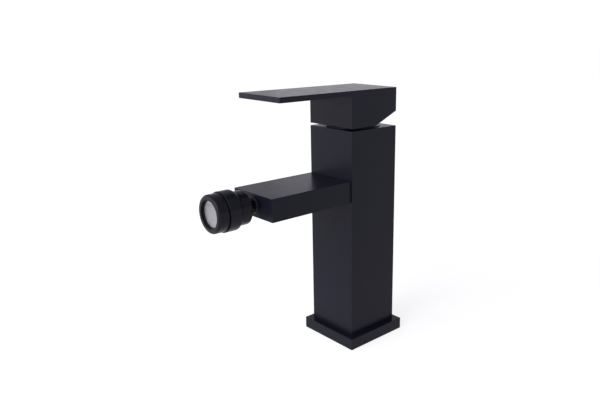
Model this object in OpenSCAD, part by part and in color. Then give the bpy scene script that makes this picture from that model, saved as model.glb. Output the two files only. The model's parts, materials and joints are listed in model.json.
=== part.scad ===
// Single-lever bidet mixer: a square column on a base plate, a flat spout with a ball-jointed
// nozzle, and a flat lever over a ceramic disc cartridge.
// Millimetres, +Z up. The spout points along -Y. The origin is the centre of the deck face.

/* [Base] */
// Width of the square base plate
plate_w = 54.3; // [52:0.1:70]
// Thickness of the base plate
plate_t = 8.8; // [6:0.1:14]
// Radius of the round foot that stands in the base plate
foot_r = 20; // [18:0.1:20.5]
// Radial clearance between foot and base plate
foot_clear = 0.1; // [0.05:0.05:0.3]
// Radial wall between the foot's hole and the gasket groove
gasket_inset = 1.9; // [1.5:0.1:2.5]
// Width of the gasket
gasket_w = 2.8; // [2:0.1:3.2]
// Height of the gasket
gasket_h = 2; // [1:0.1:3]

/* [Body] */
// Width of the square column
body_w = 45; // [44:0.1:50]
// Height of the column's top above the deck
body_h = 165.5; // [160:0.5:200]
// Chamfer on the outer edges of the square pieces
edge = 0.4; // [0.2:0.1:0.8]
// Distance of the hose inlets from the middle plane
inlet_x = 6.8; // [6.6:0.1:7.4]
// Distance of the hose inlets in front of the column's axis
inlet_y = 3.3; // [3.2:0.1:4]
// Radius of the hose inlet thread, M10 x 1
inlet_thread_r = 4.46; // [4:0.01:4.8]
// Depth of the hose inlet thread
inlet_thread_l = 12; // [8:0.5:20]
// Radius of the waterways inside the column
way_r = 2.6; // [2:0.1:2.8]
// Distance of the fixing stud's hole behind the column's axis
stud_y = 10; // [9.5:0.1:12]
// Radius of the fixing stud's thread, M8
stud_r = 3.35; // [2.6:0.01:4]
// Depth of the fixing stud's thread
stud_l = 16; // [10:0.5:25]

/* [Spout] */
// Width of the spout
spout_w = 42.8; // [38:0.1:44]
// Height of the spout
spout_h = 16; // [15.5:0.1:22]
// Distance of the spout's axis below the column's top
spout_drop = 43.7; // [41.5:0.1:65]
// Distance of the spout's front face from the column's axis
spout_reach = 92.1; // [80:0.1:140]
// Radius of the channel through the spout
channel_r = 3.3; // [2.8:0.1:3.6]
// Length of the nipple inside the spout
nipple_out_l = 14; // [13:0.5:20]
// Length of the nipple inside the column
nipple_in_l = 10; // [8:0.5:12]
// Radius of the nipple's smooth end
nipple_r = 5.5; // [5:0.1:6]
// Extra radius of the nipple's threaded end
nipple_step = 0.5; // [0.3:0.1:0.8]
// Wall of the nipple
nipple_wall = 2.3; // [2:0.1:2.5]
// Thickness of the nipple's O-rings
nipple_ring_d = 1.2; // [0.8:0.1:1.4]
// Radius of the spout's locking screw, M4
lock_r = 2; // [1.5:0.1:2.5]
// Distance of the locking screw in front of the column's face
lock_y = 5; // [4:0.1:6]

/* [Nozzle] */
// Radius of the ball
ball_r = 6; // [5.7:0.1:6.2]
// Distance of the ball's centre in front of the spout
ball_s = 13.7; // [13.3:0.1:14.4]
// Thickness of the lip at the nozzle's back, behind the friction ring
lip_t = 1.1; // [0.8:0.1:1.3]
// Radius of the neck behind the ball
neck_r = 3; // [2.6:0.1:3.1]
// Radius of the water bore through ball and stub
stub_bore_r = 2; // [1.5:0.1:2.1]
// Radius of the stub's thread, M8 x 1
stub_thread_r = 4; // [3.5:0.1:4.1]
// Length of the stub's thread
stub_thread_l = 9; // [6:0.5:12]
// Radius of the stub's flange
flange_r = 4.8; // [4.5:0.1:5]
// Radius of the stub's washer on the spout's face
washer_r = 5.7; // [5.3:0.1:6.2]
// Thickness of that washer
washer_t = 0.6; // [0.4:0.1:0.7]
// Thickness of the spherical seal and the friction ring
shell_t = 1.15; // [1:0.05:1.3]
// Radius of the opening in the back of the nozzle
opening_r = 5.3; // [5.1:0.1:5.5]
// Radius of the flat at the nozzle's back
back_r = 10.7; // [10:0.1:10.9]
// Radius of the rear barrel
rear_r = 11.5; // [11.3:0.1:12]
// Distance of the seam at the back of the main barrel from the spout
seam_s = 17.8; // [17.4:0.1:18.2]
// Radius of the main barrel
barrel_r = 13.55; // [13.3:0.05:15]
// Distance of the parting groove from the spout
groove_s = 25.7; // [25:0.1:28]
// Width of the parting groove
groove_w = 0.7; // [0.4:0.1:1.4]
// Radius of the collar
collar_r = 12.8; // [12.3:0.05:13]
// Distance of the nozzle's front face from the spout
front_s = 33.5; // [33:0.1:38]
// Radius of the collar's thread
collar_thread_r = 11.7; // [11.5:0.1:11.9]
// Length of the collar's thread
collar_thread_l = 5.5; // [5:0.5:6]
// Radius of the flow former
insert_r = 10.5; // [10.4:0.1:10.7]
// Radius of the mouth
mouth_r = 9.5; // [9.2:0.1:10.2]
// Depth of the mouth in front of the flow former
mouth_d = 2.9; // [1.4:0.1:3.4]
// Thickness of the strainer
mesh_t = 0.5; // [0.3:0.1:0.8]
// Pitch of the strainer's holes
mesh_pitch = 1.3; // [1.2:0.1:2]
// Width of the strainer's wires
mesh_wire = 0.45; // [0.3:0.05:0.6]

/* [Cartridge] */
// Radius of the cartridge
cartridge_r = 17.45; // [16.5:0.05:18]
// Wall of the cartridge's housing around the discs
chamber_wall = 2.25; // [1.5:0.05:2.6]
// Radial step from the cartridge to the thread of its nut
nut_step = 1.55; // [1.2:0.05:2]
// Height of the cartridge nut
nut_h = 4.4; // [4:0.1:6]
// Thickness of the cartridge's base
base_t = 6.5; // [6:0.1:7]
// Thickness of the fixed ceramic disc
fixed_t = 4.5; // [4:0.1:5]
// Depth of the fixed disc's seat in the cartridge's base
fixed_seat = 2; // [1:0.1:2.5]
// Thickness of the moving ceramic disc
moving_t = 3.8; // [3:0.1:4]
// Distance of the moving disc behind the axis when closed
moving_y = 2; // [1.8:0.1:2.2]
// Height of the disc carrier above the moving disc
carrier_t = 4.2; // [4:0.1:5]
// Radius of the ports
port_r = 2.2; // [1.8:0.1:2.3]
// Distance of the outlet port behind the axis
outlet_y = 4.5; // [4:0.1:5]
// Radius of the rotor
rotor_r = 10.4; // [10:0.1:10.6]
// Wall of the cartridge neck
neck_wall = 2.1; // [1.5:0.1:2.2]
// Height of the lever's pivot above the column's top
pivot_rise = 3.5; // [3.3:0.1:4]
// Radius of the pivot pin
pin_r = 1.5; // [1:0.1:1.6]
// Width of the square stem
stem_w = 8; // [7:0.1:8.2]
// Radius of the stem's lower ball
stem_ball_r = 2.8; // [2.4:0.1:2.9]
// Height of the stem's ball above the disc carrier
stem_ball_rise = 4; // [3.5:0.1:4.5]
// Travel of the disc carrier
carrier_travel = 4.2; // [4.15:0.05:4.5]

/* [Handle] */
// Gap between the column and the handle
lever_gap = 1.8; // [1.7:0.1:3]
// Height of the handle
lever_h = 26.35; // [25:0.05:32]
// Thickness of the lever plate
lever_t = 3.7; // [3:0.1:5]
// Distance of the lever's front edge from the column's axis
lever_reach = 84.25; // [60:0.25:120]
// Thinnest wall around the round hollow of the handle's block
lever_wall = 2.2; // [1.8:0.1:2.3]
// Height of the chamfer at the block's lower back edge
lever_cut_h = 9; // [8.8:0.1:12]
// Length of that chamfer
lever_cut_l = 21; // [20:0.1:21.5]
// Width of the boss that takes the stem
boss_w = 15; // [13:0.1:15]
// Clearance between stem and boss on each side
boss_clear = 0.05; // [0.02:0.01:0.1]
// Height of the boss's end above the pivot
boss_rise = 7.2; // [7:0.1:8]
// Radius of the handle's grub screw, M5
grub_r = 2.5; // [2:0.1:3]
// Radius of the plug over the screw's hole
plug_r = 3.2; // [3.1:0.1:4.5]

/* [Hidden] */

$fn = 72;
black = [0.035, 0.035, 0.045];
steel_grey = [0.62, 0.62, 0.64];
brass_yellow = [0.72, 0.58, 0.32];
rubber_black = [0.06, 0.06, 0.06];
plastic_grey = [0.55, 0.57, 0.6];
plastic_white = [0.88, 0.88, 0.86];
ceramic_white = [0.93, 0.92, 0.88];

cut = 0.5; // reach of a cutting shape past the face that it opens
fit = 0.05; // radial clearance of threads and plain seats
run_fit = 0.06; // radial clearance of turning pieces
slip = 0.1; // clearance beside flat sliding faces
loose = 0.2; // clearance of pieces that pass each other freely
chamber_clear = 0.15; // radial clearance of the cartridge in its chamber
key_share = 0.58; // corner radius of a screw's hexagon socket as a share of the screw's radius

// Column and spout
spout_z = body_h - spout_drop;
body_face = body_w / 2;
nipple_thread_r = nipple_r + nipple_step;
nipple_bore_r = nipple_r - nipple_wall;
nipple_groove = 0.5; // depth of the groove for the locking screw
lock_play = 0.2; // distance of the locking screw from the spout's underside
ring_pitch = 2.5; // distance between the nipple's O-rings
ring_first = 1.6; // distance of the first O-ring from the nipple's end
gasket_r = foot_r + foot_clear + gasket_inset;

// Nozzle, as distances s in front of the spout's face
shell_in_r = ball_r + run_fit;
shell_out_r = shell_in_r + shell_t;
cup_r = shell_out_r + run_fit;
back_s = ball_s - sqrt(pow(cup_r, 2) - pow(opening_r, 2)) - lip_t;
back_round = rear_r - back_r; // length of the rounding at the nozzle's back
barrel_round = 4.2; // length of the rounding behind the main barrel
ball_flat = 5; // distance of the ball's front flat from its centre
flange_t = 0.8; // thickness of the stub's flange
screw_l = 2.6; // length of the screw joint between socket nut and housing
screw_wall = 1.5; // step from the rear barrel's radius to that joint
screw_r = rear_r - screw_wall;
seal_from = 1.7; // extent of the ball seal in front of the ball's centre
seal_to = 4.2;
ring_from = 0.8; // extent of the friction ring behind the ball's centre
ring_to = 4;
chamber_r = 5.2; // radius of the water chamber in front of the ball
collar_s = groove_s + groove_w / 2;
housing_end = groove_s - groove_w / 2;
thread_s = collar_s - collar_thread_l;
insert_bore = insert_r + fit;
insert_front = front_s - mouth_d;
washer_h = 1.2; // thickness of the washer behind the flow former
key_r = 2.4; // corner radius of the hexagon socket in the ball
key_d = 3; // depth of that socket

// Cartridge, as heights from the nut down to the seat in the column
cover_drop = 1.1; // distance of the nut's top below the column's top
nut_top = body_h - cover_drop;
shoulder_z = nut_top - nut_h;
shoulder_t = 2.4; // thickness of the housing's shoulder
ceiling_z = shoulder_z - shoulder_t;
rotor_flange_t = 3.3; // thickness of the rotor's flange
rotor_flange_top = ceiling_z - slip;
rotor_z = rotor_flange_top - rotor_flange_t;
carrier_top = rotor_z - loose;
moving_top = carrier_top - carrier_t;
fixed_top = moving_top - moving_t;
fixed_z = fixed_top - fixed_t;
base_top = fixed_z + fixed_seat;
seat_z = base_top - base_t;

// Cartridge, as radii from the outside in
nut_r = cartridge_r + nut_step;
housing_bore = cartridge_r - chamber_wall;
fixed_gap = 1.2; // radial gap around the fixed disc
fixed_r = housing_bore - fixed_gap;
carrier_gap = 0.8; // gap between the disc carrier and the housing at the end of its travel
carrier_wall = 1.2; // wall of the disc carrier around the moving disc
carrier_r = housing_bore - carrier_gap - max(moving_y, carrier_travel - moving_y);
moving_r = carrier_r - carrier_wall;
carrier_lap = 1.5; // depth of the carrier's rim around the moving disc
pivot_z = body_h + pivot_rise;
neck_top = pivot_z + pin_r;
rotor_top = pivot_z + 2 * pin_r;
neck_bore = rotor_r + run_fit;
neck_out = neck_bore + neck_wall;
ball_z = carrier_top + stem_ball_rise;
socket_half = stem_w / 2; // half width of the carrier's raised socket, which fits the rotor's slot
slot_w = stem_w + 2 * slip;
slot_front = socket_half + carrier_travel + loose;
slot_back = 6; // reach of the rotor's slot behind the axis
upper_slot_front = 6.3; // reach of the slot's upper part in front of the axis
lower_slot_h = 7.2; // height of the slot's lower part above the carrier
rotor_ring_d = 1.6; // thickness of the rotor's O-ring
rotor_ring_drop = 4; // distance of the rotor's O-ring below the pivot
rotor_ring_z = pivot_z - rotor_ring_drop;
flange_play = 0.6; // radial gap around the rotor's flange
arm_share = 0.7; // radius of the stem's arm as a share of its ball's radius
pin_play = 0.2; // distance of the pin's ends inside the rotor
nut_play = 0.15; // radial gap between nut and neck
cover_t = 0.9; // height of the cover's rim above the column
cover_lip = 1; // reach of the cover's rim past the nut's thread
cover_r = nut_r + cover_lip;
cover_in = neck_out + 2 * nut_play;
cover_wall = 1; // wall of the cover's dome
cover_rim_w = 1.6; // width of the cover's flat rim
peg_r = 1.9; // size and places of the cartridge's two pegs
peg_l = 2.5;
peg_x = 11;
peg_y = 8;
seal_gap = 0.5; // distance of the port seals from their ports
seal_in = port_r + seal_gap;
seal_w = 1.4; // width and heights of the port seals
seal_h = 1.4;
upper_seal_h = 1.2;

// Handle, as heights
lever_z = body_h + lever_gap;
lever_top = lever_z + lever_h;
plate_z = lever_top - lever_t;
boss_z = pivot_z + boss_rise;
stem_play = 2.4; // distance of the stem's end below the lever plate
stem_top = plate_z - stem_play;
grub_z = (lever_z + lever_cut_h + plate_z) / 2; // halfway up the block's flat back
plug_clear = 0.05;

// A block with all its edges chamfered, given by its lower and upper corners
module chamfered(low, high, c) {
  size = high - low;
  translate(low) intersection() {
    linear_extrude(size.z) cut_corners(size.x, size.y, c);
    translate([size.x, 0, 0]) rotate([0, -90, 0]) linear_extrude(size.x) cut_corners(size.z, size.y, c);
    translate([0, size.y, 0]) rotate([90, 0, 0]) linear_extrude(size.y) cut_corners(size.x, size.z, c);
  }
}

// A rectangle with its four corners cut off
module cut_corners(w, h, c) {
  polygon([[c, 0], [w - c, 0], [w, c], [w, h - c], [w - c, h], [c, h], [0, h - c], [0, c]]);
}

// A tube that stands at height z
module tube(outer, inner, z, h) {
  translate([0, 0, z]) difference() {
    cylinder(r = outer, h = h);
    translate([0, 0, -cut]) cylinder(r = inner, h = h + 2 * cut);
  }
}

// A cutting cylinder from height low to height high
module bore(r, low, high) {
  translate([0, 0, low]) cylinder(r = r, h = high - low);
}

// A cutting cylinder along the spout, from y = -near to y = -far
module spout_bore(r, near, far) {
  translate([0, -near, spout_z]) rotate([90, 0, 0]) cylinder(r = r, h = far - near);
}

// An O-ring of radius r to the middle of its section
module o_ring(r, thick) {
  rotate_extrude() translate([r, 0]) circle(r = thick / 2, $fn = 24);
}

// Moves children to the spout's face, where +Z is the way out
module at_spout_face() {
  translate([0, -spout_reach, spout_z]) rotate([90, 0, 0]) children();
}

// Points of an arc that widens from radius a at s = from to radius b at s = to, where it runs straight on
function widening(a, b, from, to, steps = 10) =
  let (arc_r = ((b - a) * (b - a) + (to - from) * (to - from)) / (2 * (b - a)),
    sweep = asin((to - from) / arc_r))
  [for (i = [0 : steps]) let (t = sweep * (1 - i / steps)) [b - arc_r * (1 - cos(t)), to - arc_r * sin(t)]];

// The two hose inlets' places
module at_inlets() {
  for (side = [-1, 1]) translate([side * inlet_x, -inlet_y, 0]) children();
}

// The three ports of the cartridge
module at_ports() {
  at_inlets() children();
  translate([0, outlet_y, 0]) children();
}

module at_pegs() {
  for (side = [-1, 1]) translate([side * peg_x, peg_y, 0]) children();
}

module base_plate() {
  half = plate_w / 2;
  color(black) difference() {
    chamfered([-half, -half, 0], [half, half, plate_t], edge);
    bore(foot_r + foot_clear, -cut, plate_t + cut);
    translate([0, 0, -cut]) tube(gasket_r + gasket_w, gasket_r, 0, gasket_h + cut);
  }
}

module base_gasket() {
  color(rubber_black) tube(gasket_r + gasket_w, gasket_r, 0, gasket_h);
}

module body() {
  color(black) difference() {
    union() {
      chamfered([-body_face, -body_face, plate_t], [body_face, body_face, body_h], edge);
      cylinder(r = foot_r, h = plate_t + edge);
    }
    bore(cartridge_r + chamber_clear, seat_z, body_h + cut);
    bore(nut_r + fit, shoulder_z - cut, body_h + cut);
    at_inlets() bore(way_r, 0, seat_z + cut);
    at_inlets() bore(inlet_thread_r, -cut, inlet_thread_l);
    translate([0, stud_y, 0]) bore(stud_r, -cut, stud_l);
    translate([0, outlet_y, 0]) bore(way_r, spout_z, seat_z + cut);
    spout_bore(way_r, -outlet_y, body_face);
    spout_bore(nipple_thread_r + fit, body_face - nipple_in_l, body_face + cut);
    at_pegs() bore(peg_r + fit, seat_z - peg_l - slip, seat_z + cut);
  }
}

module spout() {
  half = spout_w / 2;
  color(black) difference() {
    chamfered([-half, -spout_reach, spout_z - spout_h / 2], [half, -body_face, spout_z + spout_h / 2], edge);
    spout_bore(channel_r, body_face - cut, spout_reach + cut);
    spout_bore(nipple_r + fit, body_face - cut, body_face + nipple_out_l);
    at_spout_face() bore(stub_thread_r + fit, -stub_thread_l, cut);
    at_lock() bore(lock_r + fit, -cut, spout_h / 2);
  }
}

// The locking screw's axis, from the spout's underside
module at_lock() {
  translate([0, -body_face - lock_y, spout_z - spout_h / 2]) children();
}

module spout_nipple() {
  far = body_face + nipple_out_l;
  color(brass_yellow) difference() {
    union() {
      spout_bore(nipple_thread_r, body_face - nipple_in_l, body_face);
      spout_bore(nipple_r, body_face, far);
    }
    spout_bore(nipple_bore_r, body_face - nipple_in_l - cut, far + cut);
    spout_groove(nipple_r - nipple_groove, body_face + lock_y, 2 * (lock_r + slip));
    for (i = [0, 1]) spout_groove(nipple_r - nipple_ring_d, far - ring_first - i * ring_pitch, nipple_ring_d);
  }
}

// A groove of width w around the nipple, centred at y = -at
module spout_groove(bottom_r, at, w) {
  translate([0, -at + w / 2, spout_z]) rotate([90, 0, 0]) tube(nipple_r + cut, bottom_r, 0, w);
}

module nipple_seals() {
  far = body_face + nipple_out_l;
  color(rubber_black) for (i = [0, 1]) translate([0, -far + ring_first + i * ring_pitch, spout_z])
    rotate([90, 0, 0]) o_ring(nipple_r - nipple_ring_d / 2, nipple_ring_d);
}

module spout_screw() {
  tip = spout_h / 2 - nipple_r + nipple_groove;
  color(steel_grey) at_lock() difference() {
    bore(lock_r, lock_play, tip);
    translate([0, 0, -cut]) cylinder(r = lock_r * key_share, h = cut + tip / 2, $fn = 6);
  }
}

module stub_seal() {
  color(rubber_black) at_spout_face() tube(washer_r, stub_thread_r + fit, 0, washer_t);
}

module ball_stub() {
  color(steel_grey) at_spout_face() difference() {
    union() {
      bore(stub_thread_r, -stub_thread_l, washer_t);
      bore(flange_r, washer_t, washer_t + flange_t);
      bore(neck_r, washer_t, ball_s);
      intersection() {
        translate([0, 0, ball_s]) sphere(r = ball_r);
        bore(ball_r + cut, 0, ball_s + ball_flat);
      }
    }
    bore(stub_bore_r, -stub_thread_l - cut, ball_s + ball_r);
    translate([0, 0, ball_s + ball_flat - key_d]) cylinder(r = key_r, h = key_d + cut, $fn = 6);
  }
}

// A zone of the spherical shell around the ball, between two distances from its centre
module shell_zone(from, to) {
  translate([0, 0, ball_s]) intersection() {
    difference() {
      sphere(r = shell_out_r);
      sphere(r = shell_in_r);
    }
    bore(shell_out_r + cut, from, to);
  }
}

module ball_seal() {
  color(rubber_black) at_spout_face() shell_zone(seal_from, seal_to);
}

module friction_ring() {
  color(plastic_white) at_spout_face() shell_zone(-ring_to, -ring_from);
}

module socket_nut() {
  color(black) at_spout_face() difference() {
    rotate_extrude() polygon(concat([[0, back_s]],
      widening(back_r, rear_r, back_s, back_s + back_round),
      widening(rear_r, barrel_r, seam_s - barrel_round, seam_s),
      [[0, seam_s]]));
    translate([0, 0, ball_s]) sphere(r = cup_r);
    bore(opening_r, back_s - cut, ball_s);
    bore(screw_r, seam_s - screw_l, seam_s + cut);
  }
}

module nozzle_housing() {
  rim = 0.3;
  color(black) at_spout_face() difference() {
    rotate_extrude() polygon([[0, seam_s - screw_l], [screw_r - fit, seam_s - screw_l],
      [screw_r - fit, seam_s], [barrel_r, seam_s],
      [barrel_r, housing_end - rim], [barrel_r - rim, housing_end], [0, housing_end]]);
    translate([0, 0, ball_s]) sphere(r = cup_r);
    bore(chamber_r, ball_s, housing_end);
    bore(collar_thread_r + fit, thread_s - fit, housing_end + cut);
  }
}

module aerator_collar() {
  rim = 0.3;
  lip = 1.6;
  edge_break = 0.2;
  color(black) at_spout_face() difference() {
    rotate_extrude() polygon([[0, thread_s], [collar_thread_r, thread_s], [collar_thread_r, collar_s],
      [collar_r - rim, collar_s], [collar_r, collar_s + rim], [collar_r, front_s - lip],
      [collar_r - lip * (1 - cos(45)), front_s - lip * (1 - sin(45))], [collar_r - lip, front_s],
      [0, front_s]]);
    bore(insert_bore, thread_s - cut, insert_front);
    bore(mouth_r, thread_s, front_s + cut);
    translate([0, 0, front_s - edge_break])
      cylinder(r1 = mouth_r, r2 = mouth_r + edge_break + cut, h = edge_break + cut);
  }
}

module aerator_insert() {
  back = thread_s + washer_h;
  floor_t = 1.5;
  wall = 1.4;
  jet_r = 0.9;
  jet_circle = 5;
  jets = 8;
  color(plastic_white) at_spout_face() difference() {
    bore(insert_r, back, insert_front);
    bore(insert_r - wall, back + floor_t, insert_front + cut);
    for (i = [1 : jets]) rotate(i * 360 / jets) translate([jet_circle, 0, 0])
      bore(jet_r, back - cut, back + floor_t + cut);
  }
}

module insert_seal() {
  color(rubber_black) at_spout_face() tube(insert_r, chamber_r + cut, thread_s, washer_h);
}

module mesh_screen() {
  reach = mouth_r - fit;
  rim = 0.6;
  count = floor((reach - rim) / mesh_pitch);
  hole = mesh_pitch - mesh_wire;
  color(steel_grey) at_spout_face() translate([0, 0, insert_front]) linear_extrude(mesh_t) difference() {
    circle(r = reach);
    for (i = [-count : count], j = [-count : count])
      if (norm([abs(i) * mesh_pitch + hole / 2, abs(j) * mesh_pitch + hole / 2]) < reach - rim)
        translate([i * mesh_pitch, j * mesh_pitch]) square(hole, center = true);
  }
}

module cartridge_base() {
  color(plastic_grey) difference() {
    union() {
      bore(cartridge_r, seat_z, base_top);
      at_pegs() bore(peg_r, seat_z - peg_l, seat_z + cut);
    }
    bore(fixed_r + slip, fixed_z, base_top + cut);
    at_ports() bore(port_r, seat_z - cut, base_top);
    at_ports() tube(seal_in + seal_w, seal_in, seat_z - cut, seal_h + cut);
    at_ports() tube(seal_in + seal_w, seal_in, fixed_z - upper_seal_h, upper_seal_h + cut);
  }
}

module port_seals() {
  color(rubber_black) at_ports() {
    tube(seal_in + seal_w, seal_in, seat_z, seal_h);
    tube(seal_in + seal_w, seal_in, fixed_z - upper_seal_h, upper_seal_h);
  }
}

module fixed_disc() {
  color(ceramic_white) difference() {
    bore(fixed_r, fixed_z, fixed_top);
    at_ports() bore(port_r, fixed_z - cut, fixed_top + cut);
  }
}

module moving_disc() {
  recess_w = 2 * (inlet_x - cut);
  recess_l = 5;
  outlet_l = outlet_y + carrier_travel;
  depth = moving_t / 2;
  color(ceramic_white) difference() {
    translate([0, moving_y, 0]) bore(moving_r, fixed_top, moving_top);
    translate([-recess_w / 2, slip, fixed_top - cut]) cube([recess_w, recess_l, depth + cut]);
    translate([-port_r, slip, fixed_top - cut]) cube([2 * port_r, outlet_l - slip, depth + cut]);
    translate([0, outlet_l, 0]) bore(port_r, fixed_top - cut, fixed_top + depth);
  }
}

module disc_carrier() {
  color(plastic_grey) difference() {
    union() {
      translate([0, moving_y, 0]) bore(carrier_r, moving_top - carrier_lap, carrier_top);
      translate([-socket_half, -socket_half, carrier_top - cut])
        cube([2 * socket_half, 2 * socket_half, stem_ball_rise + stem_ball_r / 2 + cut]);
    }
    translate([0, moving_y, 0]) bore(moving_r + fit, moving_top - carrier_lap - cut, moving_top);
    bore(stem_ball_r + slip, carrier_top + slip, ball_z + stem_w);
  }
}

module cartridge_housing() {
  color(plastic_grey) difference() {
    union() {
      bore(cartridge_r, base_top, shoulder_z);
      bore(neck_out, shoulder_z - cut, neck_top);
    }
    bore(housing_bore, base_top - cut, ceiling_z);
    bore(neck_bore, ceiling_z - cut, neck_top + cut);
  }
}

module rotor() {
  split_z = carrier_top + lower_slot_h;
  color(plastic_white) difference() {
    union() {
      bore(housing_bore - flange_play, rotor_z, rotor_flange_top);
      bore(rotor_r, rotor_flange_top - cut, rotor_top);
    }
    translate([-slot_w / 2, -slot_front, rotor_z - cut])
      cube([slot_w, slot_front + socket_half + loose, split_z - rotor_z + cut]);
    translate([-slot_w / 2, -upper_slot_front, split_z - cut])
      cube([slot_w, upper_slot_front + slot_back, rotor_top - split_z + 2 * cut]);
    translate([0, 0, rotor_ring_z - rotor_ring_d / 2])
      tube(rotor_r + cut, rotor_r + fit - rotor_ring_d, 0, rotor_ring_d);
    pivot_bore(pin_r, rotor_r + cut);
  }
}

// A cylinder along the pivot, reaching to x = -reach and x = reach
module pivot_bore(r, reach) {
  translate([-reach, 0, pivot_z]) rotate([0, 90, 0]) cylinder(r = r, h = 2 * reach);
}

module rotor_seal() {
  color(rubber_black) translate([0, 0, rotor_ring_z]) o_ring(rotor_r + fit - rotor_ring_d / 2, rotor_ring_d);
}

module pivot_pin() {
  color(steel_grey) pivot_bore(pin_r, rotor_r - pin_play);
}

module stem() {
  arm_r = stem_ball_r * arm_share;
  square_z = pivot_z - stem_w / 2;
  color(steel_grey) difference() {
    union() {
      translate([0, 0, ball_z]) sphere(r = stem_ball_r);
      bore(arm_r, ball_z, square_z + cut);
      chamfered([-stem_w / 2, -stem_w / 2, square_z], [stem_w / 2, stem_w / 2, stem_top], edge);
    }
    pivot_bore(pin_r + fit, stem_w);
  }
}

module cartridge_nut() {
  notch_w = 4;
  notch_h = 1.8;
  color(brass_yellow) difference() {
    tube(nut_r, neck_out + nut_play, shoulder_z, nut_h);
    for (a = [0, 90]) rotate(a) translate([-nut_r - cut, -notch_w / 2, nut_top - notch_h])
      cube([2 * (nut_r + cut), notch_w, notch_h + cut]);
  }
}

module dome_cover() {
  skirt_z = nut_top + slip;
  skirt_r = nut_r - slip;
  shoulder_r = cover_r - cover_rim_w;
  color(black) rotate_extrude() polygon([[cover_in, neck_top - cover_wall],
    [shoulder_r - cover_wall - cut, body_h + cut], [shoulder_r - cover_wall, skirt_z],
    [skirt_r, skirt_z], [skirt_r, body_h], [cover_r, body_h], [cover_r, body_h + cover_t],
    [shoulder_r, body_h + cover_t], [cover_in + cover_wall, neck_top], [cover_in, neck_top]]);
}

// The block's side outline with the chamfer at its lower back edge
module block_side() {
  polygon([[-body_face, lever_z], [body_face - lever_cut_l, lever_z], [body_face, lever_z + lever_cut_h],
    [body_face, lever_top], [-body_face, lever_top]]);
}

// The block as a full solid
module block() {
  intersection() {
    translate([-body_face, 0, 0]) rotate([90, 0, 90]) linear_extrude(body_w) block_side();
    chamfered([-body_face, -body_face, lever_z], [body_face, body_face, lever_top], edge);
  }
}

module handle() {
  boss_half = boss_w / 2;
  socket = stem_w / 2 + boss_clear;
  color(black) difference() {
    union() {
      chamfered([-body_face, -lever_reach, plate_z], [body_face, body_face, lever_top], edge);
      difference() {
        block();
        bore(body_face - lever_wall, lever_z - cut, plate_z);
      }
      translate([-boss_half, -boss_half, boss_z]) cube([boss_w, boss_w, plate_z + cut - boss_z]);
    }
    translate([-socket, -socket, boss_z - cut])
      cube([2 * socket, 2 * socket, stem_top + slip - boss_z + cut]);
    at_grub() bore(grub_r + fit, 0, boss_w);
    at_grub() bore(plug_r + plug_clear, boss_half, body_face + cut);
  }
}

// The grub screw's axis, from the column's axis to the back
module at_grub() {
  translate([0, 0, grub_z]) rotate([-90, 0, 0]) children();
}

module grub_screw() {
  color(steel_grey) at_grub() difference() {
    bore(grub_r, stem_w / 2, boss_w / 2 - slip);
    translate([0, 0, boss_w / 2 - grub_r / 2]) cylinder(r = grub_r * key_share, h = grub_r, $fn = 6);
  }
}

module screw_cover() {
  color(black) at_grub() bore(plug_r, body_face - lever_wall, body_face);
}

base_plate();
base_gasket();
body();
spout();
spout_nipple();
nipple_seals();
spout_screw();
stub_seal();
ball_stub();
ball_seal();
friction_ring();
socket_nut();
nozzle_housing();
aerator_collar();
aerator_insert();
insert_seal();
mesh_screen();
cartridge_base();
port_seals();
fixed_disc();
moving_disc();
disc_carrier();
cartridge_housing();
rotor();
rotor_seal();
pivot_pin();
stem();
cartridge_nut();
dome_cover();
handle();
grub_screw();
screw_cover();
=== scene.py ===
import json
import math

import bmesh
import bpy
from mathutils import Matrix, Vector


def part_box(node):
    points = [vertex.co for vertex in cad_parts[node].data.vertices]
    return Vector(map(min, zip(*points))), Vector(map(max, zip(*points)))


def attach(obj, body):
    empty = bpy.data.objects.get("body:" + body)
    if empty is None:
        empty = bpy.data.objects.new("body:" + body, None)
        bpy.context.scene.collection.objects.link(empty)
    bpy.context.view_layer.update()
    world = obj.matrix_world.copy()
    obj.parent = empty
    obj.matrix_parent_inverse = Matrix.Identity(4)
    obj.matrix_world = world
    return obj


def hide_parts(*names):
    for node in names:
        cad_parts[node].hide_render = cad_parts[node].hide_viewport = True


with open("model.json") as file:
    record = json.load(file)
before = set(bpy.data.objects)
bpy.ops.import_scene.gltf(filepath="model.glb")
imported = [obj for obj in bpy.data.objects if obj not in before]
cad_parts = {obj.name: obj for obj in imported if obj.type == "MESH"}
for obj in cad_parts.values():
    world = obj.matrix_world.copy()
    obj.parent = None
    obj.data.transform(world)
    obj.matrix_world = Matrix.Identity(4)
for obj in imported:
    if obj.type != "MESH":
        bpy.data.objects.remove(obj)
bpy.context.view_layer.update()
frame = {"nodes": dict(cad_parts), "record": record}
NODES = frame["nodes"]
MM = 0.001

# Sizes in millimetres. Places come from the frame's boxes, and these are the forms between them.
EDGE_R = 0.2            # rounding of the square pieces' outer edges
EDGE_STEPS = 4          # faces across one such rounding
SMALL_R = 0.25          # rounding of turned corners
BREAK_R = 0.15          # rounding or chamfer on the corner of a small part
CORNER_STEPS = 4        # faces across the rounding of a turned corner
WIDE_CHAMFER = 0.3      # chamfer at the mouth of a wide bore
TURN_STEPS = 128        # faces around a turned piece
HOLE_STEPS = 72         # faces around a drilled hole
ON_AXIS = 1e-6          # radius below which a point of a profile lies on the axis
PAST = 1.0              # reach of a cutter past the face that it opens
FIT_GAP = 0.05          # clearance between parts that are screwed or pushed together

SHARP_ANGLE = 40.0      # degrees between two faces from which their edge is shaded sharp
EVEN_WEIGHT = 100       # how far large faces rule the shading at their edges, 50 being neutral

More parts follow.
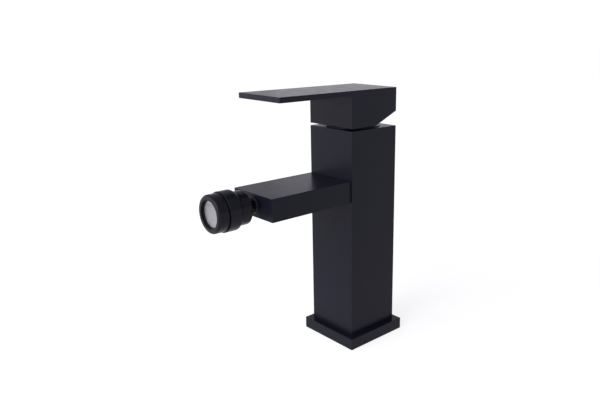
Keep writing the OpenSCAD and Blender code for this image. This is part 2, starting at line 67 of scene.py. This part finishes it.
FOOT_R = 20.0           # round foot of the column
FOOT_GAP = 0.1          # clearance between foot and base plate
GASKET_IN_R = 22.0      # groove for the gasket under the base plate
GASKET_W = 2.8
GASKET_H = 2.0
INLET_X = 6.8           # hose inlets
INLET_Y = 3.3
INLET_R = 4.46
INLET_L = 12.0
THREAD_PITCH = 1.0
THREAD_SHARE = 0.4      # depth of a thread, as a share of its pitch
STUD_Y = 10.0           # fixing stud's hole
STUD_R = 3.35
STUD_L = 16.0
STUD_PITCH = 1.25
WAY_R = 2.6             # waterways
OUTLET_Y = 4.5
CHAMBER_R = 17.6        # cartridge chamber
NUT_R = 19.05           # wider bore for the cartridge's ring nut
PEG_X = 11.0            # holes for the cartridge's pegs
PEG_Y = 8.0
PEG_R = 1.95
PEG_L = 2.5
NIPPLE_R = 5.55         # joint between spout and column
NIPPLE_OUT = 14.0
NIPPLE_THREAD_R = 6.05
NIPPLE_IN = 10.0
CHANNEL_R = 3.3         # waterway along the spout
LOCK_R = 2.05           # grub screw's hole under the spout's root
LOCK_Y = 5.0
LOCK_CHAMFER = 0.2
STUB_R = 4.05           # hole for the ball stub in the spout's face
STUB_L = 9.0
WASHER_R = 5.7          # washer on the spout's face
WASHER_T = 0.6

PLATE_T = 3.7           # lever plate
LEVER_CUT_H = 9.0       # slanted lower back edge of the handle's block
LEVER_CUT_L = 21.0
LEVER_WALL = 2.2        # wall between the block's round hollow and its sides
BOSS_W = 15.0           # boss for the stem
BOSS_Z = 176.2
BOSS_EDGE_R = 0.5
SOCKET_W = 8.1          # square socket in the boss
STEM_GAP = 0.1
GRUB_R = 2.55           # clamp screw's hole in the block's back
PLUG_R = 3.2            # plug over it

DOME_BORE_R = 12.86     # trim ring's bore, around the cartridge's neck
DOME_SKIRT_R = 18.9     # its skirt inside the column
DOME_CROWN_W = 1.0      # flat top around the bore, and the wall's thickness there
DOME_RIM_W = 1.6        # flat rim on the column's top
DOME_RIM_H = 0.9
DOME_SKIRT_IN = 2.6     # from the rim's edge to the skirt's inside at its foot
DOME_UNDER_IN = 3.1     # and to its inside at the top
DOME_UNDER_H = 0.5
DOME_EDGE_R = 0.35      # roundings: rim's edge, valley, crown and bore
DOME_VALLEY_R = 0.6
DOME_CROWN_R = 0.8
DOME_BORE_EDGE_R = 0.3

# Distances along the nozzle are measured from the spout's face.
BALL_S = 13.7
CUP_R = 7.27            # socket around the ball and its rings
CUP_STEPS = 20          # faces along the socket's profile
OPENING_R = 5.3         # opening behind the ball
LIP_T = 1.1
BACK_R = 10.7           # rear barrel, which widens a little from its back
REAR_R = 11.5
BACK_STEPS = 8
SEAM_S = 17.8           # seam between rear and main barrel
SCREW_R = 10.0          # thread between the two
SCREW_L = 2.6
BARREL_R = 13.55
BARREL_ROUND = 2.0      # length of the main barrel's rear rounding
BARREL_STEPS = 18
WATER_R = 5.2           # opening in front of the ball
GROOVE_S = 25.7         # parting groove
GROOVE_W = 0.7
COLLAR_THREAD_R = 11.7
COLLAR_THREAD_L = 5.5
COLLAR_R = 12.8
FRONT_S = 33.5
LIP = 1.6               # rounding of the front ring's edge
MOUTH_R = 9.5
MOUTH_D = 2.9
MOUTH_EDGE_R = 0.2
KEEPER_R = 8.8          # ledge that keeps the strainer in the mouth
KEEPER_D = 1.3
INSERT_R = 10.55        # seat of the flow former
COLLAR_S = GROOVE_S + GROOVE_W / 2
HOUSING_END = GROOVE_S - GROOVE_W / 2
THREAD_S = COLLAR_S - COLLAR_THREAD_L
INSERT_S = FRONT_S - MOUTH_D

MESH_T = 0.5            # strainer
MESH_GAP = 0.1          # clearance around it
MESH_RIM = 0.6
MESH_PITCH = 0.65
WIRE_R = 0.12
WIRE_FLAT = 0.3         # height of the rolled wires, as a share of their width
WIRE_SIDES = 6
WIRE_STEPS = 8          # faces along a wire for each pitch

# Rings of turned metal: the axes they can run around, and their features per metre.
Y_AXIS = 1
Z_AXIS = 2
RING_SCALE = 9000       # along the axis
RING_RUN = 300          # across it

# Floor, world and camera, with their distances in metres.
FLOOR_R = 9.0
FLOOR_STEPS = 96
FLOOR_DROP = 0.0002     # gap that keeps the floor off the base plate's underside
FLOOR_DARK = (0.29, 0.29, 0.29)
FLOOR_LIGHT = (0.31, 0.31, 0.31)
NEAR_GLOW = 0.75        # the floor's own light around the object
FAR_GLOW = 0.83
NEAR_GLOW_R = 0.3       # distances between which it passes from the one to the other
FAR_GLOW_R = 1.5
WHITE = (1, 1, 1, 1)

SKY_COLOUR = (0.985, 0.965, 1.08, 1)
HORIZON_GLOW = 1.75
CEILING_GLOW = 0.6
HORIZON_TOP = 0.02      # sines of the heights between which it passes from the one to the other
CEILING_FOOT = 0.15
SOFTBOX_AIM = (0, -0.03, 0.15)

CAMERA_PLACE = (0.33031, -0.31575, 0.23387)
CAMERA_TURN = 46.4      # degrees from the front towards the right
CAMERA_RISE = 15.631    # degrees above the horizontal
SENSOR_W = 36
LENS_LENGTH = 36.929
LENS_SHIFT = -0.08649
CLIP_START = 0.01


def corners(node):
    """Lowest and highest corner of a CAD node, in millimetres."""
    low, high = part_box(node)
    return low / MM, high / MM


def object_from(name, bm):
    """A new object from a bmesh in millimetres."""
    bmesh.ops.recalc_face_normals(bm, faces=bm.faces[:])
    bmesh.ops.scale(bm, vec=(MM, MM, MM), verts=bm.verts[:])
    mesh = bpy.data.meshes.new(name)
    bm.to_mesh(mesh)
    bm.free()
    piece = bpy.data.objects.new(name, mesh)
    bpy.context.scene.collection.objects.link(piece)
    return piece


def dress(piece, body, slot_name, *replaced):
    """Shading, material and place in the frame of a finished piece."""
    piece.data.materials.clear()
    piece.data.materials.append(MATERIALS[slot_name])
    piece.data.shade_smooth()
    piece.data.set_sharp_from_angle(angle=math.radians(SHARP_ANGLE))
    even = piece.modifiers.new("even_normals", "WEIGHTED_NORMAL")
    even.keep_sharp = True
    even.weight = EVEN_WEIGHT
    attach(piece, body)
    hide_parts(*replaced)


def widening(narrow, wide, start, end, steps):
    """Arc from radius narrow at start to radius wide at end, where it runs straight on."""
    rise = wide - narrow
    run = end - start
    radius = (rise * rise + run * run) / (2 * rise)
    sweep = math.asin(run / radius)
    angles = [sweep * (1 - i / steps) for i in range(steps + 1)]
    return [(wide - radius * (1 - math.cos(t)), end - radius * math.sin(t)) for t in angles]


def socket_arc(start_s, end_s):
    """The spherical socket's profile between two distances from the spout's face."""
    start = math.asin((start_s - BALL_S) / CUP_R)
    end = math.asin((end_s - BALL_S) / CUP_R)
    angles = [start + (end - start) * i / CUP_STEPS for i in range(CUP_STEPS + 1)]
    return [(CUP_R * math.cos(t), BALL_S + CUP_R * math.sin(t)) for t in angles]


def rounded(outline):
    """A closed outline. Its points (u, v, r) are rounded by r, and its points (u, v) stay."""
    result = []
    for i, point in enumerate(outline):
        if len(point) == 2:
            result.append(point)
            continue
        here = Vector(point[:2])
        radius = point[2]
        before = Vector(outline[i - 1][:2]) - here
        after = Vector(outline[(i + 1) % len(outline)][:2]) - here
        half = before.angle(after) / 2
        reach = radius / math.tan(half)
        inward = before.normalized() + after.normalized()
        middle = inward.normalized() * radius / math.sin(half)
        first = before.normalized() * reach - middle
        last = after.normalized() * reach - middle
        sweep = first.angle_signed(last)
        for k in range(CORNER_STEPS + 1):
            turn = Matrix.Rotation(-sweep * k / CORNER_STEPS, 2)
            spot = here + middle + turn @ first
            result.append((spot.x, spot.y))
    return result


def turned(profile, place, steps=TURN_STEPS):
    """A bmesh turned from a closed profile of (radius, distance) around the axis of place."""
    bm = bmesh.new()
    rings = []
    for radius, along in profile:
        if radius < ON_AXIS:
            rings.append([bm.verts.new(place @ Vector((0, 0, along)))])
            continue
        ring = []
        for i in range(steps):
            turn = 2 * math.pi * i / steps
            spot = Vector((radius * math.cos(turn), radius * math.sin(turn), along))
            ring.append(bm.verts.new(place @ spot))
        rings.append(ring)
    for near, far in zip(rings, rings[1:] + rings[:1]):
        if len(near) == 1 and len(far) == 1:
            continue
        for i in range(steps):
            j = (i + 1) % steps
            if len(near) == 1:
                bm.faces.new((near[0], far[j], far[i]))
            elif len(far) == 1:
                bm.faces.new((near[i], near[j], far[0]))
            else:
                bm.faces.new((near[i], near[j], far[j], far[i]))
    return bm


def soften(bm, edges, radius):
    """Rounds edges of a bmesh."""
    bmesh.ops.bevel(
        bm, geom=edges, offset=radius, segments=EDGE_STEPS, profile=0.5, affect="EDGES")


def block(low, high, radius=EDGE_R):
    """A block with rounded edges, or with sharp ones where the radius is 0."""
    bm = bmesh.new()
    bmesh.ops.create_cube(bm, size=1)
    for vert in bm.verts:
        vert.co = Vector([high[i] if vert.co[i] > 0 else low[i] for i in range(3)])
    if radius:
        soften(bm, bm.edges[:], radius)
    return bm


def pillar(width, low_z, high_z, radius):
    """A square block around the Z axis."""
    half = width / 2
    return block((-half, -half, low_z), (half, half, high_z), radius)


def slab(outline, half_width):
    """An outline in Y and Z, extruded across X, with its outer edges rounded."""
    bm = bmesh.new()
    near = [bm.verts.new((-half_width, y, z)) for y, z in outline]
    far = [bm.verts.new((half_width, y, z)) for y, z in outline]
    bm.faces.new(near)
    bm.faces.new(far)
    for i in range(len(outline)):
        j = (i + 1) % len(outline)
        bm.faces.new((near[i], near[j], far[j], far[i]))
    bmesh.ops.recalc_face_normals(bm, faces=bm.faces[:])
    soften(bm, [edge for edge in bm.edges if edge.is_convex], EDGE_R)
    return bm


def upright(x=0, y=0):
    """Axis along +Z through (x, y)."""
    return Matrix.Translation((x, y, 0))


def along_spout(face_y=None):
    """The spout's axis, outwards along -Y from its face or from another y."""
    low, high = corners("spout")
    start_y = low.y if face_y is None else face_y
    start = Matrix.Translation((0, start_y, (low.z + high.z) / 2))
    return start @ Matrix.Rotation(math.radians(90), 4, "X")


def rod(place, radius, start, end, mouth=0, steps=HOLE_STEPS):
    """A cutter for a drilled hole that opens at start, where its mouth can have a chamfer."""
    sense = 1 if end > start else -1
    outside = start - sense * PAST
    profile = [(0, outside), (radius, outside), (radius, end), (0, end)]
    if mouth:
        profile[1:2] = [(radius + mouth + PAST, outside), (radius, start + sense * mouth)]
    return turned(profile, place, steps)


def threaded_rod(place, radius, start, end, pitch):
    """A cutter for a threaded hole that opens at start, with one ring for each turn of the thread."""
    sense = 1 if end > start else -1
    crest = radius - THREAD_SHARE * pitch
    profile = [(0, start - sense * PAST), (radius + PAST, start - sense * PAST)]
    for turn in range(int(abs(end - start) / pitch)):
        root = start + sense * turn * pitch
        profile += [(radius, root), (crest, root + sense * pitch / 2)]
    profile += [(crest, end), (0, end)]
    return turned(profile, place, HOLE_STEPS)


def cut(piece, cutters, operation="DIFFERENCE"):
    """Takes the cutters' bmeshes out of a piece, or joins them to it."""
    for cutter in cutters:
        tool = object_from("cutter", cutter)
        step = piece.modifiers.new("cut", "BOOLEAN")
        step.operation = operation
        step.solver = "EXACT"
        step.object = tool
        graph = bpy.context.evaluated_depsgraph_get()
        shape = bpy.data.meshes.new_from_object(piece.evaluated_get(graph))
        piece.modifiers.clear()
        piece.data = shape
        bpy.data.objects.remove(tool)


def add_node(tree, kind, inputs=(), **settings):
    """A shader node with its settings and input values."""
    node = tree.nodes.new(kind)
    for name, value in settings.items():
        setattr(node, name, value)
    for name, value in dict(inputs).items():
        node.inputs[name].default_value = value
    return node


def new_material(name, **values):
    """A material with one Principled shader, and its uniform values."""
    material = bpy.data.materials.new(name)
    material.use_nodes = True
    tree = material.node_tree
    shader = tree.nodes["Principled BSDF"]
    for socket, value in values.items():
        shader.inputs[socket.replace("_", " ")].default_value = value
    return material, tree, shader


def noise(tree, scale, detail=3.0, roughness=0.55):
    """Noise in the object's own space, with its scale in features per metre."""
    place = add_node(tree, "ShaderNodeTexCoord")
    grain = add_node(tree, "ShaderNodeTexNoise", {
        "Scale": scale, "Detail": detail, "Roughness": roughness})
    tree.links.new(place.outputs["Object"], grain.inputs["Vector"])
    return grain.outputs["Fac"]


def spread(tree, source, low, high, start=0.3, end=0.7):
    """Maps the range from start to end, by default a noise value's, to that from low to high."""
    step = add_node(tree, "ShaderNodeMapRange", {
        "From Min": start, "From Max": end, "To Min": low, "To Max": high})
    tree.links.new(source, step.inputs["Value"])
    return step.outputs["Result"]


def shaded(colour, share):
    """A colour with its strength multiplied."""
    return [channel * share for channel in colour]


def tint(tree, shader, source, dark, light):
    """Base colour between two colours, by a value from 0 to 1."""
    ramp = add_node(tree, "ShaderNodeValToRGB")
    ramp.color_ramp.elements[0].color = (*dark, 1)
    ramp.color_ramp.elements[1].color = (*light, 1)
    tree.links.new(source, ramp.inputs["Fac"])
    tree.links.new(ramp.outputs["Color"], shader.inputs["Base Color"])


def gloss(tree, shader, source, low, high):
    """Roughness between low and high, by a noise value."""
    tree.links.new(spread(tree, source, low, high), shader.inputs["Roughness"])


def bump(tree, shader, source, height):
    """Small relief, with its height in millimetres."""
    relief = add_node(tree, "ShaderNodeBump", {"Strength": 1.0, "Distance": height * MM})
    tree.links.new(source, relief.inputs["Height"])
    tree.links.new(relief.outputs["Normal"], shader.inputs["Normal"])


def coat(name, colour, roughness, ior, grain_height):
    """Satin powder coat: cloudy tone, uneven gloss and a fine pebbled grain."""
    material, tree, shader = new_material(name, IOR=ior)
    cloud = noise(tree, scale=60)
    tint(tree, shader, cloud, shaded(colour, share=0.9), shaded(colour, share=1.1))
    smudge = noise(tree, scale=140, detail=4)
    gloss(tree, shader, smudge, low=roughness - 0.025, high=roughness + 0.025)
    bump(tree, shader, noise(tree, scale=2600, detail=2, roughness=0.4), grain_height)
    return material


def turned_metal(name, colour, roughness, ring_height, axis):
    """Turned metal: fine rings around the axis, with smudged gloss."""
    material, tree, shader = new_material(name, Metallic=1.0)
    place = add_node(tree, "ShaderNodeTexCoord")
    rings = add_node(tree, "ShaderNodeTexNoise", {"Scale": 1.0, "Detail": 2.0})
    squeeze = add_node(tree, "ShaderNodeVectorMath", operation="MULTIPLY")
    squeeze.inputs[1].default_value = [RING_SCALE if i == axis else RING_RUN for i in range(3)]
    tree.links.new(place.outputs["Object"], squeeze.inputs[0])
    tree.links.new(squeeze.outputs["Vector"], rings.inputs["Vector"])
    tint(tree, shader, noise(tree, scale=220), shaded(colour, share=0.88), colour)
    smudge = noise(tree, scale=300, detail=4)
    gloss(tree, shader, smudge, low=roughness - 0.06, high=roughness + 0.08)
    bump(tree, shader, rings.outputs["Fac"], ring_height)
    return material


def moulded(name, colour, roughness, grain_height):
    """Moulded plastic or rubber: slight clouding and a fine mould grain."""
    material, tree, shader = new_material(name, IOR=1.45)
    tint(tree, shader, noise(tree, scale=120), shaded(colour, share=0.92), colour)
    smudge = noise(tree, scale=400, detail=4)
    gloss(tree, shader, smudge, low=roughness - 0.05, high=roughness + 0.05)
    bump(tree, shader, noise(tree, scale=1800, detail=3), grain_height)
    return material


def ceramic(name, colour, grain_height):
    """Lapped ceramic: almost even, with faint specks and a low sheen."""
    material, tree, shader = new_material(name, IOR=1.7)
    specks = noise(tree, scale=3000, detail=1)
    tint(tree, shader, specks, shaded(colour, share=0.95), colour)
    gloss(tree, shader, noise(tree, scale=500), low=0.18, high=0.3)
    bump(tree, shader, specks, grain_height)
    return material


MATERIALS = {
    "black_coat": coat(
        "satin_black_coat", (0.0056, 0.0057, 0.0115), roughness=0.3, ior=1.197, grain_height=0.006),
    "black_nozzle": coat(
        "satin_black_nozzle", (0.0056, 0.0057, 0.0095), roughness=0.27, ior=1.2, grain_height=0.004),
    "black_plug": moulded(
        "moulded_black_plug", (0.006, 0.006, 0.008), roughness=0.5, grain_height=0.006),
    "steel": turned_metal(
        "turned_steel", (0.62, 0.62, 0.64), roughness=0.3, ring_height=0.006, axis=Z_AXIS),
    "strainer": turned_metal(
        "turned_strainer", (0.39, 0.39, 0.42), roughness=0.36, ring_height=0.002, axis=Y_AXIS),
    "plain_brass": turned_metal(
        "turned_plain_brass", (0.72, 0.55, 0.28), roughness=0.32, ring_height=0.008, axis=Z_AXIS),
    "rubber": moulded(
        "moulded_rubber", (0.02, 0.02, 0.021), roughness=0.6, grain_height=0.02),
    "grey_plastic": moulded(
        "moulded_grey_plastic", (0.42, 0.44, 0.47), roughness=0.4, grain_height=0.01),
    "white_plastic": moulded(
        "moulded_white_plastic", (0.78, 0.78, 0.76), roughness=0.38, grain_height=0.008),
    "white_ceramic": ceramic(
        "lapped_ceramic", (0.86, 0.85, 0.81), grain_height=0.002),
}


def finish_cad_nodes():
    """Gives every CAD node the material of its slot in the record."""
    for part in frame["record"]["subparts"]:
        node = NODES[part["node"]]
        material = MATERIALS[part["material_slot"]]
        if not node.material_slots:
            node.data.materials.append(material)
        for slot in node.material_slots:
            slot.material = material


def make_base_plate():
    """Square plate with the hole for the column's foot and the gasket's groove."""
    low, high = corners("base_plate")
    plate = object_from("square_base_plate", block(low, high))
    hole = rod(upright(), FOOT_R + FOOT_GAP, low.z, high.z + PAST, steps=TURN_STEPS)
    outer_r = GASKET_IN_R + GASKET_W
    start = low.z - PAST
    end = low.z + GASKET_H
    section = [(GASKET_IN_R, start), (outer_r, start), (outer_r, end), (GASKET_IN_R, end)]
    groove = turned(section, upright())
    cut(plate, [hole, groove])
    dress(plate, "mixer", "black_coat", "base_plate")


def make_column():
    """Square column on its round foot, with cartridge chamber, waterways and threaded holes."""
    low, high = corners("body")
    foot_top = corners("base_plate")[1].z
    column = object_from("square_column", block((low.x, low.y, foot_top), high))
    foot = rounded([
        (0, low.z), (FOOT_R, low.z, SMALL_R), (FOOT_R, foot_top + PAST), (0, foot_top + PAST)])
    cut(column, [turned(foot, upright())], "UNION")
    seat_z = corners("cartridge_base")[0].z + PEG_L
    nut_z = corners("cartridge_nut")[0].z
    outlet = upright(0, OUTLET_Y)
    out = along_spout(low.y)
    holes = [
        rod(upright(), CHAMBER_R, high.z, seat_z, steps=TURN_STEPS),
        rod(upright(), NUT_R, high.z, nut_z, WIDE_CHAMFER, steps=TURN_STEPS),
        threaded_rod(upright(0, STUD_Y), STUD_R, low.z, STUD_L, STUD_PITCH),
        rod(outlet, WAY_R, seat_z + PAST, out.translation.z),
        rod(out, WAY_R, 0, low.y - OUTLET_Y),
        threaded_rod(out, NIPPLE_THREAD_R, 0, -NIPPLE_IN, THREAD_PITCH)]
    for side in (-1, 1):
        inlet = upright(side * INLET_X, -INLET_Y)
        holes.append(threaded_rod(inlet, INLET_R, low.z, INLET_L, THREAD_PITCH))
        holes.append(rod(inlet, WAY_R, low.z, seat_z + PAST))
        peg = upright(side * PEG_X, PEG_Y)
        holes.append(rod(peg, PEG_R, seat_z + PAST, seat_z - PEG_L))
    cut(column, holes)
    dress(column, "mixer", "black_coat", "body")


def make_spout():
    """Flat arm with its channel, the bores of its two joints and the grub screw's hole."""
    low, high = corners("spout")
    spout = object_from("flat_spout", block(low, high))
    out = along_spout()
    length = high.y - low.y
    channel = rod(out, CHANNEL_R, 0, -length - PAST)
    thread = rod(out, STUB_R, 0, -STUB_L)
    socket = rod(out, NIPPLE_R, -length, NIPPLE_OUT - length)
    root = upright(0, high.y - LOCK_Y)
    lock = rod(root, LOCK_R, low.z, (low.z + high.z) / 2, LOCK_CHAMFER)
    cut(spout, [channel, thread, socket, lock])
    dress(spout, "mixer", "black_coat", "spout")


def make_handle():
    """Flat lever with its hollow block, the boss for the stem and the clamp screw's hole."""
    low, high = corners("handle")
    half = high.x
    plate_z = high.z - PLATE_T
    outline = [
        (low.y, plate_z), (low.y, high.z), (half, high.z), (half, low.z + LEVER_CUT_H),
        (half - LEVER_CUT_L, low.z), (-half, low.z), (-half, plate_z)]
    handle = object_from("flat_lever", slab(outline, half))
    hollow = rod(upright(), half - LEVER_WALL, low.z, plate_z, WIDE_CHAMFER, steps=TURN_STEPS)
    cut(handle, [hollow])
    boss = pillar(BOSS_W, BOSS_Z, plate_z + PLATE_T / 2, BOSS_EDGE_R)
    cut(handle, [boss], "UNION")
    stem_top = corners("stem")[1].z
    socket = pillar(SOCKET_W, BOSS_Z - PAST, stem_top + STEM_GAP, 0)
    grub_z = sum(corner.z for corner in corners("screw_cover")) / 2
    rear = Matrix.Translation((0, 0, grub_z)) @ Matrix.Rotation(math.radians(-90), 4, "X")
    grub = rod(rear, GRUB_R, 0, BOSS_W)
    plug = rod(rear, PLUG_R + FIT_GAP, half, BOSS_W / 2, BREAK_R)
    cut(handle, [socket, grub, plug])
    dress(handle, "lever", "black_coat", "handle")


def make_dome_cover():
    """Round trim ring over the cartridge, with its rim on the column's top."""
    low, high = corners("dome_cover")
    rim_r = high.x
    column_top = corners("body")[1].z
    rim_top = column_top + DOME_RIM_H
    profile = rounded([
        (DOME_BORE_R, high.z - DOME_CROWN_W),
        (rim_r - DOME_UNDER_IN, column_top + DOME_UNDER_H),
        (rim_r - DOME_SKIRT_IN, low.z), (DOME_SKIRT_R, low.z),
        (DOME_SKIRT_R, column_top), (rim_r, column_top),
        (rim_r, rim_top, DOME_EDGE_R), (rim_r - DOME_RIM_W, rim_top, DOME_VALLEY_R),
        (DOME_BORE_R + DOME_CROWN_W, high.z, DOME_CROWN_R), (DOME_BORE_R, high.z, DOME_BORE_EDGE_R)])
    cover = object_from("domed_trim_ring", turned(profile, upright()))
    dress(cover, "mixer", "black_coat", "dome_cover")


def make_stub_washer():
    """Flat washer between ball stub and spout."""
    profile = rounded([
        (STUB_R, 0), (WASHER_R, 0), (WASHER_R, WASHER_T, BREAK_R), (STUB_R, WASHER_T)])
    washer = object_from("stub_washer", turned(profile, along_spout()))
    dress(washer, "mixer", "rubber", "stub_seal")


def make_socket_nut():
    """Rear barrel of the nozzle, with the rear half of the ball's socket."""
    depth = math.sqrt(CUP_R ** 2 - OPENING_R ** 2)
    back_s = BALL_S - depth - LIP_T
    profile = [(OPENING_R, back_s + BREAK_R), (OPENING_R + BREAK_R, back_s)]
    profile += widening(BACK_R, REAR_R, back_s, back_s + REAR_R - BACK_R, BACK_STEPS)
    profile += widening(REAR_R, BARREL_R, SEAM_S - BARREL_ROUND, SEAM_S, BARREL_STEPS)
    profile += [(SCREW_R, SEAM_S), (SCREW_R, SEAM_S - SCREW_L)]
    profile += socket_arc(SEAM_S - SCREW_L, BALL_S - depth)
    nut = object_from("nozzle_rear_barrel", turned(profile, along_spout()))
    dress(nut, "nozzle", "black_nozzle", "socket_nut")


def make_nozzle_housing():
    """Main barrel of the nozzle, with the front half of the ball's socket."""
    depth = math.sqrt(CUP_R ** 2 - WATER_R ** 2)
    screw_r = SCREW_R - FIT_GAP
    bore_r = COLLAR_THREAD_R + FIT_GAP
    floor_s = THREAD_S - FIT_GAP
    profile = rounded([
        (screw_r, SEAM_S - SCREW_L), (screw_r, SEAM_S), (BARREL_R, SEAM_S),
        (BARREL_R, HOUSING_END, SMALL_R), (bore_r, HOUSING_END), (bore_r, floor_s),
        (WATER_R, floor_s)])
    profile += socket_arc(BALL_S + depth, SEAM_S - SCREW_L)
    housing = object_from("nozzle_main_barrel", turned(profile, along_spout()))
    dress(housing, "nozzle", "black_nozzle", "nozzle_housing")


def make_collar():
    """Front ring of the nozzle, with its mouth and the strainer's ledge."""
    mesh_top = INSERT_S + MESH_T + FIT_GAP
    profile = rounded([
        (INSERT_R, THREAD_S), (COLLAR_THREAD_R, THREAD_S), (COLLAR_THREAD_R, COLLAR_S),
        (COLLAR_R, COLLAR_S, SMALL_R), (COLLAR_R, FRONT_S, LIP), (MOUTH_R, FRONT_S, MOUTH_EDGE_R),
        (MOUTH_R, FRONT_S - KEEPER_D), (KEEPER_R, FRONT_S - KEEPER_D, BREAK_R),
        (KEEPER_R, mesh_top), (MOUTH_R, mesh_top), (MOUTH_R, INSERT_S), (INSERT_R, INSERT_S)])
    collar = object_from("nozzle_front_ring", turned(profile, along_spout()))
    dress(collar, "nozzle", "black_nozzle", "aerator_collar")


def sweep_wire(bm, points):
    """Sweeps a closed, flattened wire along points that run roughly straight."""
    turns = [2 * math.pi * k / WIRE_SIDES for k in range(WIRE_SIDES)]
    rings = []
    for i, point in enumerate(points):
        ahead = points[min(i + 1, len(points) - 1)] - points[max(i - 1, 0)]
        across = ahead.cross(Vector((0, 0, 1))).normalized()
        up = across.cross(ahead).normalized()
        spots = [math.cos(t) * across + WIRE_FLAT * math.sin(t) * up for t in turns]
        rings.append([bm.verts.new(point + WIRE_R * spot) for spot in spots])
    for near, far in zip(rings, rings[1:]):
        for k in range(WIRE_SIDES):
            j = (k + 1) % WIRE_SIDES
            bm.faces.new((near[k], near[j], far[j], far[k]))
    bm.faces.new(rings[0])
    bm.faces.new(rings[-1])


def weave(bm, reach, layer):
    """Wires in two directions, over and under each other."""
    count = int((reach - MESH_RIM) / MESH_PITCH)
    for direction in (0, 1):
        for i in range(-count, count + 1):
            half = math.sqrt((reach - MESH_RIM / 2) ** 2 - (i * MESH_PITCH) ** 2)
            steps = int(WIRE_STEPS * half / MESH_PITCH)
            points = []
            for k in range(steps + 1):
                run = -half + 2 * half * k / steps
                wave = math.cos(math.pi * (run / MESH_PITCH + i + direction))
                flat = (i * MESH_PITCH, run) if direction else (run, i * MESH_PITCH)
                points.append(Vector((*flat, layer + WIRE_FLAT * WIRE_R * wave)))
            sweep_wire(bm, points)


def make_strainer():
    """Woven wires in a flat rim."""
    out = along_spout()
    reach = MOUTH_R - MESH_GAP
    inner = reach - MESH_RIM
    top = INSERT_S + MESH_T
    bm = bmesh.new()
    weave(bm, reach, INSERT_S + MESH_T / 2)
    bmesh.ops.transform(bm, matrix=out, verts=bm.verts[:])
    section = rounded([
        (inner, INSERT_S), (reach, INSERT_S), (reach, top, BREAK_R), (inner, top, BREAK_R)])
    ring = turned(section, out)
    rim = bpy.data.meshes.new("rim")
    ring.to_mesh(rim)
    ring.free()
    bm.from_mesh(rim)
    bpy.data.meshes.remove(rim)
    screen = object_from("woven_strainer", bm)
    dress(screen, "nozzle", "strainer", "mesh_screen")


def make_floor():
    """Pale round floor that lights itself up to the background's white."""
    bm = bmesh.new()
    bmesh.ops.create_circle(bm, cap_ends=True, radius=FLOOR_R / MM, segments=FLOOR_STEPS)
    floor = object_from("floor", bm)
    material, tree, shader = new_material(
        "pale_floor", Roughness=0.9, Specular_IOR_Level=0.0, Emission_Color=WHITE)
    tint(tree, shader, noise(tree, scale=3), FLOOR_DARK, FLOOR_LIGHT)
    place = add_node(tree, "ShaderNodeTexCoord")
    reach = add_node(tree, "ShaderNodeVectorMath", operation="LENGTH")
    tree.links.new(place.outputs["Object"], reach.inputs[0])
    glow = spread(tree, reach.outputs["Value"], NEAR_GLOW, FAR_GLOW, NEAR_GLOW_R, FAR_GLOW_R)
    tree.links.new(glow, shader.inputs["Emission Strength"])
    floor.data.materials.append(material)
    floor.location.z = -FLOOR_DROP


def make_world():
    """Studio surround: a glow along the horizon under an even, dimmer ceiling."""
    world = bpy.data.worlds.new("studio")
    bpy.context.scene.world = world
    world.use_nodes = True
    tree = world.node_tree
    surround = tree.nodes["Background"]
    surround.inputs["Color"].default_value = SKY_COLOUR
    direction = add_node(tree, "ShaderNodeTexCoord")
    height = add_node(tree, "ShaderNodeSeparateXYZ")
    fall = add_node(tree, "ShaderNodeMapRange", {
        "From Min": HORIZON_TOP, "From Max": CEILING_FOOT,
        "To Min": HORIZON_GLOW, "To Max": CEILING_GLOW}, interpolation_type="SMOOTHSTEP")
    tree.links.new(direction.outputs["Generated"], height.inputs["Vector"])
    tree.links.new(height.outputs["Z"], fall.inputs["Value"])
    tree.links.new(fall.outputs["Result"], surround.inputs["Strength"])


def make_softbox(name, place, width, radiance):
    """A square soft box that faces the object, with its place and width in metres."""
    lamp = bpy.data.lights.new(name, "AREA")
    lamp.size = width
    lamp.energy = radiance * math.pi * width ** 2
    box = bpy.data.objects.new(name, lamp)
    box.location = place
    back = box.location - Vector(SOFTBOX_AIM)
    box.rotation_euler = back.to_track_quat("Z", "Y").to_euler()
    bpy.context.scene.collection.objects.link(box)


def make_camera():
    """The photograph's view: from the front right, a little above."""
    turn = math.radians(CAMERA_TURN)
    rise = math.radians(CAMERA_RISE)
    back = Vector((math.sin(turn) * math.cos(rise), -math.cos(turn) * math.cos(rise), math.sin(rise)))
    lens = bpy.data.cameras.new("camera")
    lens.sensor_width = SENSOR_W
    lens.lens = LENS_LENGTH
    lens.shift_x = LENS_SHIFT
    lens.clip_start = CLIP_START
    view = bpy.data.objects.new("camera", lens)
    view.location = CAMERA_PLACE
    view.rotation_euler = back.to_track_quat("Z", "Y").to_euler()
    bpy.context.scene.collection.objects.link(view)
    bpy.context.scene.camera = view


finish_cad_nodes()
make_base_plate()
make_column()
make_spout()
make_handle()
make_dome_cover()
make_stub_washer()
make_socket_nut()
make_nozzle_housing()
make_collar()
make_strainer()
make_floor()
make_world()
make_softbox("front_softbox", place=(0, -1.37, 0.77), width=1.2, radiance=5.4)
make_softbox("left_softbox", place=(-0.86, -1.18, 0.53), width=1.2, radiance=1.2)
make_softbox("rear_softbox", place=(-0.45, 0.45, 0.24), width=0.3, radiance=0.25)
make_camera()
bpy.context.scene.view_settings.view_transform = "Standard"
